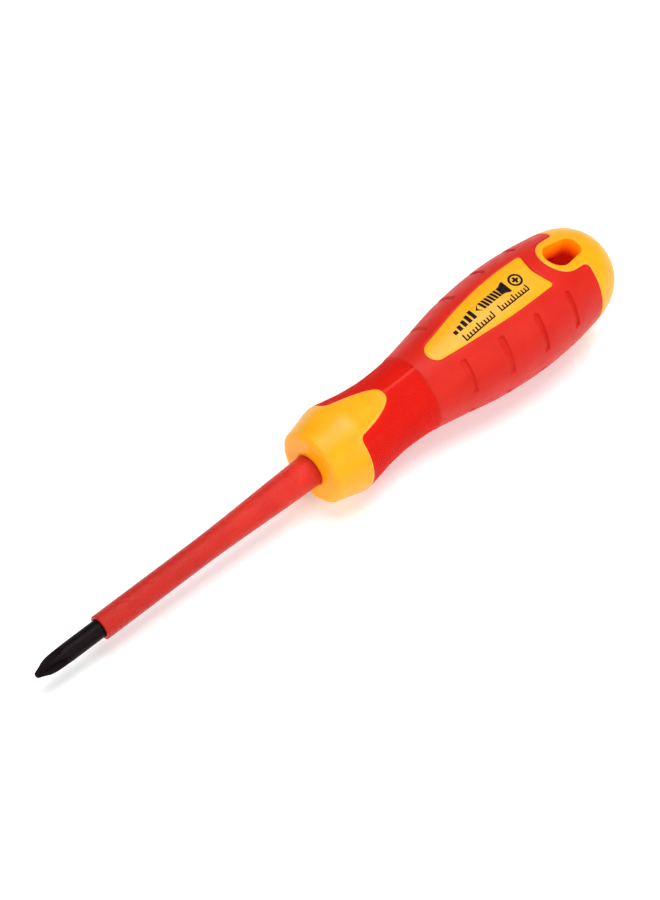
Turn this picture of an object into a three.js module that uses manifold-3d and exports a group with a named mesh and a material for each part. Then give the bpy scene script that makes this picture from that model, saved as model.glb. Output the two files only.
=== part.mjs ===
// Insulated cross-head screwdriver: a size 1 tip, 80 mm of blade in front of the handle, and
// a two-colour moulded handle.
//
// Millimetres, +Z up. The tool lies along X: the end of the tip is the origin and points
// to +X, and the upper label panel of the handle faces +Z. A "station" is a distance back
// from the tip along the tool, so station s is at x = -s.
import * as THREE from "three";
import { mergeVertices } from "three/addons/utils/BufferGeometryUtils.js";
import Module from "manifold-3d";

const wasm = await Module();
wasm.setup();

// ---------------------------------------------------------------- driving dimensions
const GAP = 0.25; // clearance between neighbouring pieces
const OUTER_SEGMENTS = 48; // facets around a surface that is seen
const INNER_SEGMENTS = 24; // facets around a hidden one

// Steel blade: a 4.35 mm bar with a size 1 cross tip and swaged wings in the handle.
const BAR_RADIUS = 2.175;
const BAR_TAIL = 149; // station of the hidden end of the bar
const NOSE_RADIUS = 0.6;
const NOSE_PROFILE = [
  [1.5, 1.13],
  [3, 1.72],
  [4.5, 1.99],
  [6.2, 2.09],
  [9, BAR_RADIUS],
];
const FLUTE_LENGTH = 8.6;
const FLUTE_HALF_ANGLE = 46; // degrees, each side of the flute's floor line
const FLUTE_ROOT = 0.36; // distance from the axis to the flute's floor at the nose
const FLUTE_TAPER = 0.03; // rise of the floor per millimetre
const FLUTE_RUN_OUT = 1.65; // further rise over the whole flute, nearly all of it at the back
const TIP_CLOCKING = 22; // degrees from +Z to the nearest of the four ribs
const WING = { from: 126, to: 141, width: 7.2, thickness: 2.4, ramp: 3 };

// Insulating sleeve over the blade.
const BARE_TIP = 17.7; // steel left bare in front of the sleeve
const SLEEVE_RADIUS = 3.0;
const SLEEVE_ROOT_RADIUS = 3.93;
const SLEEVE_TAPER = [50, 75]; // stations between which it thickens
const SLEEVE_TAIL = 99;

// Front collar: flat face, rounded rim, then a flare, and two tongues over the neck.
const COLLAR_FACE = 80;
const COLLAR_FACE_RADIUS = 7.3;
const COLLAR_RIM = { depth: 1.3, height: 2.24 };
const COLLAR_BACK = 89.6;
const COLLAR_BACK_RADIUS = 11.47;
const TONGUE_LENGTH = 12.7;
const TONGUE_HALF_WIDTH = 5.9;
const TONGUE_PROUD = 0.25;

// Handle: radius at a few stations, joined by a smooth curve, with a domed butt.
const HANDLE_KNOTS = [
  [88, 11.8],
  [93, 10.88],
  [98, 10.1],
  [104.5, 9.7],
  [113, 10.19],
  [122, 11.72],
  [131, 13.37],
  [140, 14.28],
  [148, 14.54],
  [157, 14.07],
  [164, 13.19],
  [171, 12.21],
  [178, 11.23],
];
const BUTT = { dome: 163, end: 177.5, power: 3.1 };
const NECK_END = 112.3; // station of the step between neck and main grip
const CAP_FRONT = 165.1; // station of the joint between main grip and end cap

// Hard core inside the handle, as straight-sided turned steps. It is thin at the hang hole,
// whose upper and lower walls belong to the end cap.
const CORE_OUTLINE = [
  [84, 7.2],
  [107, 7.2],
  [130, 10.2],
  [147, 10.6],
  [154.5, 6.8],
  [168, 6.5],
  [172.5, 4],
];

// Label panels on the top and the underside, seen through windows in the grip.
const LABEL_TIP = 116.7;
const LABEL_NOSE_RADIUS = 3;
const LABEL_KNOTS = [
  [119.1, 2.94],
  [121, 3.26],
  [126, 4.14],
  [131, 4.9],
  [136, 5.52],
  [141, 5.88],
  [146.5, 6],
  [152.6, 5.9],
];
const LABEL_END = 153.3; // station of its two back corners
const LABEL_END_CLEARANCE = 3.65; // red bridge between panel and hang-hole rim
const LABEL_RECESS = 0.2;
const LABEL_FLAT_HEIGHT = 14.05; // distance from the axis to its flat middle

// Hang hole and the rim around it.
const HOLE = { front: 156.9, back: 167.2, frontRadius: 3.55, backRadius: 2, backHalfWidth: 2.85 };
const RIM_CENTRE = 161.1;
const RIM_RADIUS = 5.8;

// Grip notches: four across each quarter of the grip.
const NOTCH_FIRST = 123.1; // station of the steep edge of the first one
const NOTCH_PITCH = 10.83;
const NOTCH_COUNT = 4;
const NOTCH_LENGTH = 1.45;
const NOTCH_DEPTH = 0.7;
const NOTCH_ANGLES = [34, 77]; // degrees from the +Z or -Z direction

// ---------------------------------------------------------------- small helpers
const rad = THREE.MathUtils.degToRad;

function stations(from, to, count) {
  return Array.from({ length: count + 1 }, (_, i) => from + ((to - from) * i) / count);
}

// A smooth curve through [station, value] knots, with the slope of its neighbours at each.
function smoothCurve(knots) {
  const slopes = knots.map((_, i) => {
    const [a, b] = [knots[Math.max(i - 1, 0)], knots[Math.min(i + 1, knots.length - 1)]];
    return (b[1] - a[1]) / (b[0] - a[0]);
  });
  return (s) => {
    let i = knots.findIndex((k) => s < k[0]) - 1;
    if (i < 0) i = s < knots[0][0] ? 0 : knots.length - 2;
    const [[s0, v0], [s1, v1]] = [knots[i], knots[i + 1]];
    const h = s1 - s0;
    const t = THREE.MathUtils.clamp((s - s0) / h, 0, 1);
    const blend = t * t * (3 - 2 * t);
    const bend = h * (slopes[i] * t * (1 - t) ** 2 - slopes[i + 1] * t * t * (1 - t));
    return v0 + (v1 - v0) * blend + bend;
  };
}

// A manifold solid from a geometry.
function solid(geometry) {
  const bare = geometry.clone();
  bare.deleteAttribute("normal");
  bare.deleteAttribute("uv");
  const merged = mergeVertices(bare, 1e-4);
  return new wasm.Manifold(
    new wasm.Mesh({
      numProp: 3,
      vertProperties: merged.attributes.position.array,
      triVerts: new Uint32Array(merged.index.array),
    }),
  );
}

// A body turned around the tool's axis. Its outline is [station, radius] pairs from the
// front to the back; it is closed onto the axis at both ends.
function turned(outline, segments) {
  const closed = [[outline[0][0], 0], ...outline, [outline.at(-1)[0], 0]];
  const points = closed.map(([s, r]) => new THREE.Vector2(r, -s)).reverse();
  return solid(new THREE.LatheGeometry(points, segments).rotateZ(-Math.PI / 2));
}

// A body made of matching convex rings of points, closed by a flat face at each end. The
// rings run clockwise when they are seen from in front of the first one.
function lofted(rings) {
  const n = rings[0].length;
  const triangles = [];
  for (let k = 0; k + 1 < rings.length; k++) {
    for (let i = 0; i < n; i++) {
      const [a, b] = [k * n + i, k * n + ((i + 1) % n)];
      triangles.push(a, b, b + n, a, b + n, a + n);
    }
  }
  const last = (rings.length - 1) * n;
  for (let i = 1; i + 1 < n; i++) {
    triangles.push(0, i + 1, i, last, last + i, last + i + 1);
  }
  const geometry = new THREE.BufferGeometry().setFromPoints(rings.flat());
  geometry.setIndex(triangles);
  return solid(geometry);
}

// The prism of a plan outline, seen from above, between two heights.
function prism(outline, bottom, top) {
  const shape = new THREE.Shape(outline.map(([s, y]) => new THREE.Vector2(-s, y)));
  const geometry = new THREE.ExtrudeGeometry(shape, { depth: top - bottom, bevelEnabled: false });
  return solid(geometry.translate(0, 0, bottom));
}

function arc([centre, y], radius, fromDegrees, toDegrees, count) {
  return stations(rad(fromDegrees), rad(toDegrees), count).map((a) => [
    centre - radius * Math.cos(a),
    y + radius * Math.sin(a),
  ]);
}

function mesh(name, body, colour, roughness, metalness = 0) {
  const { vertProperties, triVerts } = body.getMesh();
  const geometry = new THREE.BufferGeometry();
  geometry.setAttribute("position", new THREE.BufferAttribute(vertProperties, 3));
  geometry.setIndex(new THREE.BufferAttribute(triVerts, 1));
  geometry.computeVertexNormals();
  const material = new THREE.MeshStandardMaterial({ color: colour, roughness, metalness });
  const made = new THREE.Mesh(geometry, material);
  made.name = name;
  return made;
}

// ---------------------------------------------------------------- derived shapes
const handleCurve = smoothCurve(HANDLE_KNOTS);
const labelHalfWidth = smoothCurve(LABEL_KNOTS);

function handleRadius(s) {
  const u = THREE.MathUtils.clamp((s - BUTT.dome) / (BUTT.end - BUTT.dome), 0, 1);
  return handleCurve(s) * Math.sqrt(1 - u ** BUTT.power);
}

function coreRadius(s) {
  const next = CORE_OUTLINE.findIndex((point) => point[0] >= s);
  if (next <= 0) return CORE_OUTLINE.at(next)[1];
  const [[s0, r0], [s1, r1]] = CORE_OUTLINE.slice(next - 1, next + 1);
  return THREE.MathUtils.mapLinear(s, s0, s1, r0, r1);
}

const turnedBetween = (from, to, count, radiusAt, segments) =>
  turned(stations(from, to, count).map((s) => [s, radiusAt(s)]), segments);

// The core, or with grow the cavity that a shell leaves for it, between two stations.
function coreBody(from, to, grow) {
  const steps = CORE_OUTLINE.map((point) => point[0]).filter((s) => s > from && s < to);
  return turned(
    [from, ...steps, to].map((s) => [s, coreRadius(s) + grow]),
    INNER_SEGMENTS,
  );
}

const coreCavity = (from, to) => coreBody(from, to, GAP);

// Outline of a plan shape that mirrors itself across the tool's axis.
const mirrored = (side) => [...side, ...side.map(([s, y]) => [s, -y]).reverse()];

function tongueOutline(grow) {
  const side = stations(1, 0, 12).map((v) => {
    const u = 1 - v * v;
    const y = (TONGUE_HALF_WIDTH + grow) * (1 - u) ** 0.4;
    return [COLLAR_BACK + (TONGUE_LENGTH + grow) * u, y];
  });
  const root = [COLLAR_BACK - 1, TONGUE_HALF_WIDTH + grow];
  return mirrored([root, ...side.slice(0, -1), [COLLAR_BACK + TONGUE_LENGTH + grow, 0.05]]);
}

function labelOutline(grow) {
  const nose = arc([LABEL_TIP + LABEL_NOSE_RADIUS, 0], LABEL_NOSE_RADIUS + grow, 2, 74, 5);
  const [first, last] = [LABEL_KNOTS[0], LABEL_KNOTS.at(-1)];
  const flank = stations(first[0], last[0], 7).map((s) => [s, labelHalfWidth(s) + grow]);
  const reach = RIM_RADIUS + LABEL_END_CLEARANCE - grow;
  const sweep = THREE.MathUtils.radToDeg(Math.asin((last[1] - 0.7) / reach));
  const back = arc([RIM_CENTRE, 0], reach, sweep, 2, 4);
  return mirrored([...nose, ...flank, [LABEL_END + grow, last[1] - 0.3], ...back]);
}

function rimOutline(grow) {
  const nose = arc([RIM_CENTRE, 0], RIM_RADIUS + grow, 1, 90, 9);
  return mirrored([...nose, [CAP_FRONT + 3, RIM_RADIUS + grow]]);
}

function holeOutline() {
  const { front, back, frontRadius, backRadius, backHalfWidth } = HOLE;
  const nose = arc([front + frontRadius, 0], frontRadius, 1, 90, 9);
  const corner = [back - backRadius, backHalfWidth - backRadius];
  return mirrored([...nose, ...arc(corner, backRadius, 90, 180, 5)]);
}

// ---------------------------------------------------------------- cutting tools
const REACH = 20; // taller than any radius of the handle
const throughHole = prism(holeOutline(), -REACH, REACH);

// One flute of the cross tip: a V whose floor runs out of the bar towards the back.
function flute(clocking) {
  const spread = rad(FLUTE_HALF_ANGLE);
  const reach = 3;
  const rings = stations(-0.5, FLUTE_LENGTH, 10).map((s) => {
    const runOut = FLUTE_RUN_OUT * Math.max(s / FLUTE_LENGTH, 0) ** 6;
    const floor = FLUTE_ROOT + FLUTE_TAPER * s + runOut;
    return [
      [floor, 0],
      [floor + reach * Math.cos(spread), -reach * Math.sin(spread)],
      [floor + reach * Math.cos(spread), reach * Math.sin(spread)],
    ].map(([out, across]) => new THREE.Vector3(-s, across, out));
  });
  return lofted(rings).rotate([clocking, 0, 0]);
}

// One notch: a steep wall at the back, and a floor that ramps up to the surface in front.
function notch(station, fromDegrees, toDegrees) {
  const front = station - NOTCH_LENGTH;
  const above = 1;
  const rings = stations(fromDegrees, toDegrees, 6).map((degrees) => {
    const section = [
      [front, handleRadius(front)],
      [station, handleRadius(station) - NOTCH_DEPTH],
      [station, handleRadius(station) + above],
      [front, handleRadius(front) + above],
    ];
    const a = rad(degrees);
    return section.map(([s, r]) => new THREE.Vector3(-s, r * Math.sin(a), r * Math.cos(a)));
  });
  return lofted(rings);
}

// ---------------------------------------------------------------- pieces
function makeBlade() {
  const bar = turned([[0, NOSE_RADIUS], ...NOSE_PROFILE, [BAR_TAIL, BAR_RADIUS]], INNER_SEGMENTS);
  const flutes = [0, 1, 2, 3].map((i) => flute(TIP_CLOCKING + 45 + 90 * i));
  const { from, to, width, thickness, ramp } = WING;
  const wing = prism(
    mirrored([
      [from, BAR_RADIUS * 0.8],
      [from + ramp, width / 2],
      [to - ramp, width / 2],
      [to, BAR_RADIUS * 0.8],
    ]),
    -thickness / 2,
    thickness / 2,
  );
  return wasm.Manifold.difference([bar.add(wing), ...flutes]);
}

function makeSleeve() {
  const [thin, thick] = SLEEVE_TAPER;
  const outer = turned(
    [
      [BARE_TIP, SLEEVE_RADIUS - 0.2],
      [BARE_TIP + 0.2, SLEEVE_RADIUS],
      ...stations(thin, thick, 6).map((s) => {
        const t = (s - thin) / (thick - thin);
        return [s, SLEEVE_RADIUS + (SLEEVE_ROOT_RADIUS - SLEEVE_RADIUS) * t];
      }),
      [SLEEVE_TAIL, SLEEVE_ROOT_RADIUS],
    ],
    INNER_SEGMENTS,
  );
  const bore = turned(
    [BARE_TIP - 1, SLEEVE_TAIL + 1].map((s) => [s, BAR_RADIUS + GAP / 2]),
    INNER_SEGMENTS,
  );
  return outer.subtract(bore);
}

function makeCore() {
  const front = CORE_OUTLINE[0][0];
  const body = coreBody(front, CORE_OUTLINE.at(-1)[0], 0);
  const sleeveSeat = turned(
    [front - 1, SLEEVE_TAIL + GAP].map((s) => [s, SLEEVE_ROOT_RADIUS + GAP]),
    INNER_SEGMENTS,
  );
  const barSeat = turned(
    [front, BAR_TAIL + GAP].map((s) => [s, BAR_RADIUS + GAP / 2]),
    INNER_SEGMENTS,
  );
  const { from, to, width, thickness } = WING;
  const wingSeat = prism(
    mirrored([from - GAP, to + GAP].map((s) => [s, width / 2 + GAP])),
    -thickness / 2 - GAP,
    thickness / 2 + GAP,
  );
  return wasm.Manifold.difference([body, sleeveSeat, barSeat, wingSeat, throughHole]);
}

function makeCollar() {
  const { depth, height } = COLLAR_RIM;
  const rim = stations(0, 90, 5).map((degrees) => {
    const a = rad(degrees);
    const s = COLLAR_FACE + depth * (1 - Math.cos(a));
    return [s, COLLAR_FACE_RADIUS + height * Math.sin(a)];
  });
  const flare = [
    [COLLAR_BACK - 1, COLLAR_BACK_RADIUS - 0.07],
    [COLLAR_BACK, COLLAR_BACK_RADIUS],
  ];
  const ring = turned([...rim, ...flare], OUTER_SEGMENTS);
  const strap = turnedBetween(
    COLLAR_BACK - 0.5,
    COLLAR_BACK + TONGUE_LENGTH,
    8,
    (s) => Math.min(handleRadius(s) + TONGUE_PROUD, COLLAR_BACK_RADIUS),
    OUTER_SEGMENTS,
  );
  const tongues = strap.intersect(prism(tongueOutline(0), -REACH, REACH));
  const sleeveBore = turned(
    [COLLAR_FACE - 1, COLLAR_BACK].map((s) => [s, SLEEVE_ROOT_RADIUS + GAP / 2]),
    INNER_SEGMENTS,
  );
  const cavity = coreCavity(CORE_OUTLINE[0][0] - GAP, NECK_END);
  return ring.add(tongues).subtract(sleeveBore).subtract(cavity);
}

function makeNeck() {
  const from = COLLAR_BACK + GAP;
  const body = turnedBetween(from, NECK_END, 9, (s) => handleRadius(s) - 0.1, OUTER_SEGMENTS);
  const cavity = coreCavity(from - 1, NECK_END + 1);
  return wasm.Manifold.difference([body, cavity, prism(tongueOutline(GAP), -REACH, REACH)]);
}

function makeGrip() {
  const from = NECK_END + GAP;
  const body = turnedBetween(from, CAP_FRONT, 16, handleRadius, OUTER_SEGMENTS);
  const [near, far] = NOTCH_ANGLES;
  const rows = [near, 180 - far, -far, near - 180];
  const notches = rows.flatMap((start) =>
    Array.from({ length: NOTCH_COUNT }, (_, i) =>
      notch(NOTCH_FIRST + NOTCH_PITCH * i, start, start + far - near),
    ),
  );
  return wasm.Manifold.difference([
    body,
    coreCavity(from - 1, CAP_FRONT + 1),
    prism(labelOutline(GAP), -REACH, REACH),
    prism(rimOutline(GAP), -REACH, REACH),
    ...notches,
  ]);
}

function makePanel(side) {
  const skin = turnedBetween(
    LABEL_TIP - 1,
    LABEL_END + 1,
    10,
    (s) => handleRadius(s) - LABEL_RECESS,
    OUTER_SEGMENTS,
  ).subtract(coreCavity(LABEL_TIP - 2, LABEL_END + 2));
  const [bottom, top] = side > 0 ? [0, LABEL_FLAT_HEIGHT] : [-LABEL_FLAT_HEIGHT, 0];
  return skin.intersect(prism(labelOutline(0), bottom, top));
}

function makeCap() {
  const front = RIM_CENTRE - RIM_RADIUS - 1;
  const joint = CAP_FRONT + GAP;
  const outline = [
    ...stations(front, joint, 5).slice(0, -1),
    ...stations(0, 90, 10).map((a) => joint + (BUTT.end - joint) * Math.sin(rad(a))),
  ];
  const body = turned(
    outline.map((s) => [s, handleRadius(s)]),
    OUTER_SEGMENTS,
  );
  const behindJoint = mirrored([joint, BUTT.end + 1].map((s) => [s, REACH]));
  const keep = [rimOutline(0), behindJoint].map((outline) => prism(outline, -REACH, REACH));
  const cavity = coreCavity(front - 1, CORE_OUTLINE.at(-1)[0] + GAP);
  return body.intersect(wasm.Manifold.union(keep)).subtract(cavity).subtract(throughHole);
}

// ---------------------------------------------------------------- assembly
const RED = 0xdf3a2b;
const NECK_RED = 0xd6200f;
const YELLOW = 0xfdbe2b;
const BLACK_STEEL = 0x241f21;

const screwdriver = new THREE.Group();
screwdriver.name = "screwdriver";
screwdriver.add(
  mesh("blade", makeBlade(), BLACK_STEEL, 0.45, 0.9),
  mesh("blade_insulation", makeSleeve(), RED, 0.5),
  mesh("handle_core", makeCore(), NECK_RED, 0.5),
  mesh("front_collar", makeCollar(), YELLOW, 0.45),
  mesh("neck_grip", makeNeck(), NECK_RED, 0.6),
  mesh("main_grip", makeGrip(), RED, 0.6),
  mesh("label_panel_top", makePanel(1), YELLOW, 0.45),
  mesh("label_panel_bottom", makePanel(-1), YELLOW, 0.45),
  mesh("end_cap", makeCap(), YELLOW, 0.45),
);

export default screwdriver;
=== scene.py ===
# Insulated screwdriver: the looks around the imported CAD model.
#
# Lengths in this script are in millimetres and are turned into metres when a mesh is made.
# Only the lights and the camera's distance, at the end, are in metres. The tool lies along X
# with its tip at the origin, pointing to +X. A "station" is a distance back from the tip, so
# station s is at x = -s. An angle around the tool counts from +Z towards +Y. A plan outline
# is a closed list of (station, y) points seen from above.
import math

import bpy
import numpy as np
from mathutils import Matrix, Vector


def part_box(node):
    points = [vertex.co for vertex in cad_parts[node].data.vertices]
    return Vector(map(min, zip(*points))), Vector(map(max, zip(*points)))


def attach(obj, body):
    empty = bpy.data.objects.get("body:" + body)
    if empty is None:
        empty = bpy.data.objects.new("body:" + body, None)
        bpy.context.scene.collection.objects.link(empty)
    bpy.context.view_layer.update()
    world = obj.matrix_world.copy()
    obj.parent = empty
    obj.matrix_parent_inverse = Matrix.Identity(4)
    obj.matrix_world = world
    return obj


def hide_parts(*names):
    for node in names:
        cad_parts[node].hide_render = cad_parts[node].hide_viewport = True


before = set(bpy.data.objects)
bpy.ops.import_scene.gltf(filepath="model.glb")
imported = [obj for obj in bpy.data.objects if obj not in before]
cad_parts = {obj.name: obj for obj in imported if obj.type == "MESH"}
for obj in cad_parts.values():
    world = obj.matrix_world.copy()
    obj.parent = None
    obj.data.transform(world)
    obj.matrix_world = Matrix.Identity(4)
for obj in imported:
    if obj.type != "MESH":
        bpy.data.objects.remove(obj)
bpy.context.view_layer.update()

MM = 0.001


# ------------------------------------------------------------------ places from the frame
def front_of(node):
    """Station of the node's end nearest the tip."""
    return -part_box(node)[1][0] / MM


def back_of(node):
    """Station of the node's end nearest the butt."""
    return -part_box(node)[0][0] / MM


BARE_TIP = front_of("blade_insulation")
SLEEVE_TAIL = back_of("blade_insulation")
BAR_TAIL = back_of("blade")
COLLAR_FACE = front_of("front_collar")
TONGUE_TIP = back_of("front_collar")
NECK_END = back_of("neck_grip")
CAP_FRONT = back_of("main_grip")
LABEL_TIP = front_of("label_panel_top")
RIM_FRONT = front_of("end_cap")
BUTT_END = back_of("end_cap")
LABEL_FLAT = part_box("label_panel_top")[1][2] / MM
LABEL_HALF_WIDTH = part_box("label_panel_top")[1][1] / MM

# ------------------------------------------------------------------ sizes, in millimetres
BAR_RADIUS = 2.175
NOSE_KNOTS = [(0, 0.6), (1.5, 1.13), (3, 1.72), (4.5, 1.99), (6.2, 2.09), (9, BAR_RADIUS)]
NOSE_ROUNDING = 0.35  # length over which the end of the nose is rounded off
NOSE_BLUNTNESS = 0.45  # share of the radius that is left at the very end
FLUTE_LENGTH = 8.6
FLUTE_SPREAD = math.radians(46)
FLUTE_ROOT = 0.36
FLUTE_TAPER = 0.03
FLUTE_RUN_OUT = 1.65
FLUTE_ROUNDING = 0.05
TIP_CLOCKING = math.radians(22)
WING_SPAN, WING_RAMP = (126, 141), 3
WING_WIDTH, WING_THICKNESS = 7.2, 2.4

SLEEVE_RADIUS, SLEEVE_ROOT_RADIUS = 3.0, 3.93
SLEEVE_TAPER = (44, 83)
SLEEVE_EDGE = 0.16
FIT = 0.06  # gap around the bar in its tube, and around the tube in the collar

COLLAR_BACK = 89.6
COLLAR_FACE_RADIUS = 7.3
COLLAR_WIDEST_RADIUS = 11.46
COLLAR_WALL = 4  # thickness of its flat front wall
COLLAR_BORE = 7.4  # inner radius behind that wall
RIM_DEPTH, RIM_HEIGHT = 1.3, 2.24
COLLAR_KNOTS = [
    (81.3, 9.54),
    (84, 10.24),
    (86, 10.78),
    (88, 11.26),
    (89.4, 11.44),
    (90.8, 11.42),
    (93, 11.06),
    (96, 10.6),
    (100, 10.08),
    (104, 9.9),
]
TONGUE_HALF_WIDTH = 5.9
TONGUE_FILLET = 1.7

HANDLE_KNOTS = [
    (88, 11.8),
    (93, 10.88),
    (98, 10.1),
    (104.5, 9.7),
    (113, 10.19),
    (122, 11.72),
    (131, 13.37),
    (140, 14.28),
    (148, 14.54),
    (157, 14.07),
    (164, 13.19),
    (171, 12.21),
    (178, 11.23),
]
BUTT_DOME, BUTT_POWER = 163, 3.1
SKIN_MARGIN = 0.02  # keeps the smooth skin inside the faceted CAD box
NECK_BORE = 7.4  # inner radius of the neck's sleeve
GRIP_BORE_KNOTS = [(112, 7.5), (125, 8.5), (150, 8.5), (156, 6.9)]
GRIP_WALL = 1  # least thickness of the soft grip
CAP_BORE_KNOTS = [(154.5, 6.8), (168, 6.5), (172.5, 4), (173, 0)]

LABEL_NOSE_RADIUS = 3
LABEL_KNOTS = [
    (119.1, 2.94),
    (121, 3.26),
    (126, 4.14),
    (131, 4.9),
    (136, 5.52),
    (141, 5.88),
    (146.5, 6),
    (152.6, 5.9),
]
LABEL_CORNER_RADIUS = 0.8
LABEL_END = 153.3
LABEL_RECESS = 0.2
LABEL_SHOULDER = 0.06  # rounding where the panel's flat meets its curved sides
LABEL_THICKNESS = 2
BRIDGE = 3.65  # width of the soft grip between a label panel and the cap's rim

RIM_CENTRE, RIM_RADIUS = 161.1, 5.8
HOLE_FRONT, HOLE_BACK = 156.9, 167.2
HOLE_FRONT_RADIUS, HOLE_BACK_RADIUS, HOLE_BACK_HALF_WIDTH = 3.55, 2.0, 2.85
CAP_CORNER = 1.3  # rounding where the rim's sides turn into the cap's front edge
CAP_EDGE, HOLE_EDGE = 0.5, 0.6
CAP_CELL = 0.22

NOTCH_STATIONS = [123.1 + 10.83 * i for i in range(4)]
NOTCH_TOPS = [29.5, 33, 35, 36]  # degrees
NOTCH_BOTTOMS = [75.5, 77, 77.5, 77]
NOTCH_LENGTH = 1.75
NOTCH_WALL = 0.24  # width of their sloping walls
NOTCH_FRONT_DEPTH, NOTCH_BACK_DEPTH = 0.22, 0.64
NOTCH_TOP_CORNER, NOTCH_BOTTOM_CORNER = 0.75, 0.2

RIB_PITCH, RIB_DEPTH = 0.58, 0.16
NECK_RECESS = 0.12
BAND_HALF_WIDTH, BAND_EDGE, BAND_HEIGHT = 0.34, 0.12, 0.14

# Bevels of the borders that pieces share, on the piece that is named first.
COLLAR_BEVEL = 0.6
NECK_COLLAR_BEVEL, NECK_GRIP_BEVEL = 0.2, 0.7
GRIP_NECK_BEVEL, GRIP_LABEL_BEVEL, GRIP_CAP_BEVEL = 0.45, 0.35, 0.25
LABEL_BEVEL = 0.3

# How far a piece runs on past its outline, down into the groove along that border.
COLLAR_TUCK = NECK_TUCK = 0.3
GRIP_LABEL_TUCK, GRIP_CAP_TUCK, LABEL_TUCK = 0.6, 0.4, 0.45

INK_HEIGHT, INK_THICKNESS = 0.015, 0.06


# ------------------------------------------------------------------ curves and outlines
def smooth_curve(knots):
    """A smooth curve through (station, value) knots, as a function of stations."""
    at, value = np.array(knots, float).T
    slope = np.empty_like(at)
    slope[1:-1] = (value[2:] - value[:-2]) / (at[2:] - at[:-2])
    slope[0] = (value[1] - value[0]) / (at[1] - at[0])
    slope[-1] = (value[-1] - value[-2]) / (at[-1] - at[-2])

    def curve(s):
        i = np.clip(np.searchsorted(at, s, side="right") - 1, 0, len(at) - 2)
        h = at[i + 1] - at[i]
        t = np.clip((s - at[i]) / h, 0, 1)
        bend = h * (slope[i] * t * (1 - t) ** 2 - slope[i + 1] * t * t * (1 - t))
        return value[i] + (value[i + 1] - value[i]) * t * t * (3 - 2 * t) + bend

    return curve


def smoothstep(low, high, v):
    t = np.clip((v - low) / (high - low), 0, 1)
    return t * t * (3 - 2 * t)


handle_curve = smooth_curve(HANDLE_KNOTS)
collar_curve = smooth_curve(COLLAR_KNOTS)
nose_curve = smooth_curve(NOSE_KNOTS)
label_half_width = smooth_curve(LABEL_KNOTS)


def handle_radius(s):
    u = np.clip((s - BUTT_DOME) / (BUTT_END - BUTT_DOME), 0, 1)
    return (handle_curve(s) - SKIN_MARGIN) * np.sqrt(1 - u**BUTT_POWER)


def mirrored(side):
    """A closed outline from its half at y > 0."""
    return np.array(list(side) + [(s, -y) for s, y in reversed(side)], float)


def arc(centre, y, radius, start, end, count):
    """Points on an arc; 0 degrees is towards the tip and 90 towards +y."""
    angles = np.radians(np.linspace(start, end, count))
    return [(centre - radius * math.cos(a), y + radius * math.sin(a)) for a in angles]


def tongue_half_width(u):
    return TONGUE_HALF_WIDTH * (1 - u) ** 0.4


def collar_outline():
    """The plan area of the collar: all that lies in front of its back edge, and its tongue."""
    length = TONGUE_TIP - COLLAR_BACK
    root = TONGUE_FILLET / length
    fillet_y = tongue_half_width(root) + TONGUE_FILLET
    fillet = arc(COLLAR_BACK + TONGUE_FILLET, fillet_y, TONGUE_FILLET, 0, -90, 10)
    flank = [1 - v * v for v in np.linspace(math.sqrt(1 - root), 0.02, 40)]
    side = [(COLLAR_BACK + length * u, tongue_half_width(u)) for u in flank]
    return mirrored([(60, 40), (COLLAR_BACK, 40), *fillet, *side[1:]])


def label_outline():
    nose = arc(LABEL_TIP + LABEL_NOSE_RADIUS, 0, LABEL_NOSE_RADIUS, 1, 76, 20)
    corner = LABEL_CORNER_RADIUS
    reach = RIM_RADIUS + BRIDGE
    corner_y = LABEL_KNOTS[-1][1] - corner
    corner_s = RIM_CENTRE - math.sqrt((reach + corner) ** 2 - corner_y**2)
    facing = math.degrees(math.asin(corner_y / (reach + corner)))
    flank_s = np.linspace(LABEL_KNOTS[0][0], corner_s, 34)
    flank = list(zip(flank_s, label_half_width(flank_s)))
    turn = arc(corner_s, corner_y, corner, 95, 180 + facing, 14)
    back = arc(RIM_CENTRE, 0, reach, facing, 1, 16)
    return mirrored([*nose, *flank, *turn, *back[1:]])


def rim_outline():
    nose = arc(RIM_CENTRE, 0, RIM_RADIUS, 1, 90, 24)
    return mirrored([*nose, (190, RIM_RADIUS)])


def hole_outline():
    nose = arc(HOLE_FRONT + HOLE_FRONT_RADIUS, 0, HOLE_FRONT_RADIUS, 1, 90, 24)
    corner_y = HOLE_BACK_HALF_WIDTH - HOLE_BACK_RADIUS
    corner = arc(HOLE_BACK - HOLE_BACK_RADIUS, corner_y, HOLE_BACK_RADIUS, 90, 180, 12)
    return mirrored([*nose, *corner])


def inside_distance(outline, s, y):
    """How far each point is inside a closed outline; negative outside."""
    nearest = np.full(np.shape(s), 1e9)
    inside = np.zeros(np.shape(s), bool)
    for (s0, y0), (s1, y1) in zip(outline, np.roll(outline, -1, axis=0)):
        ds, dy = s1 - s0, y1 - y0
        t = np.clip(((s - s0) * ds + (y - y0) * dy) / (ds * ds + dy * dy), 0, 1)
        nearest = np.minimum(nearest, np.hypot(s - s0 - t * ds, y - y0 - t * dy))
        if dy:
            inside ^= ((y0 > y) != (y1 > y)) & (s < s0 + ds * (y - y0) / dy)
    return np.where(inside, nearest, -nearest)


def bevel(distance, size):
    """Height lost near an edge: none further in than size, then down at 45 degrees."""
    t = np.clip(1 - distance / size, 0, None)
    return -0.5 * size * np.where(t < 1, t * t, 2 * t - 1)


def round_union(a, b, radius):
    """Distance to two shapes joined with a fillet, from the distance to each. All of these
    distances are negative inside."""
    ua, ub = np.maximum(radius - a, 0), np.maximum(radius - b, 0)
    return np.maximum(radius, np.minimum(a, b)) - np.hypot(ua, ub)


def round_intersection(a, b, radius):
    """Distance to what two shapes have in common, with the edge between them rounded."""
    ua, ub = np.maximum(radius + a, 0), np.maximum(radius + b, 0)
    return np.minimum(-radius, np.maximum(a, b)) + np.hypot(ua, ub)


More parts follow.
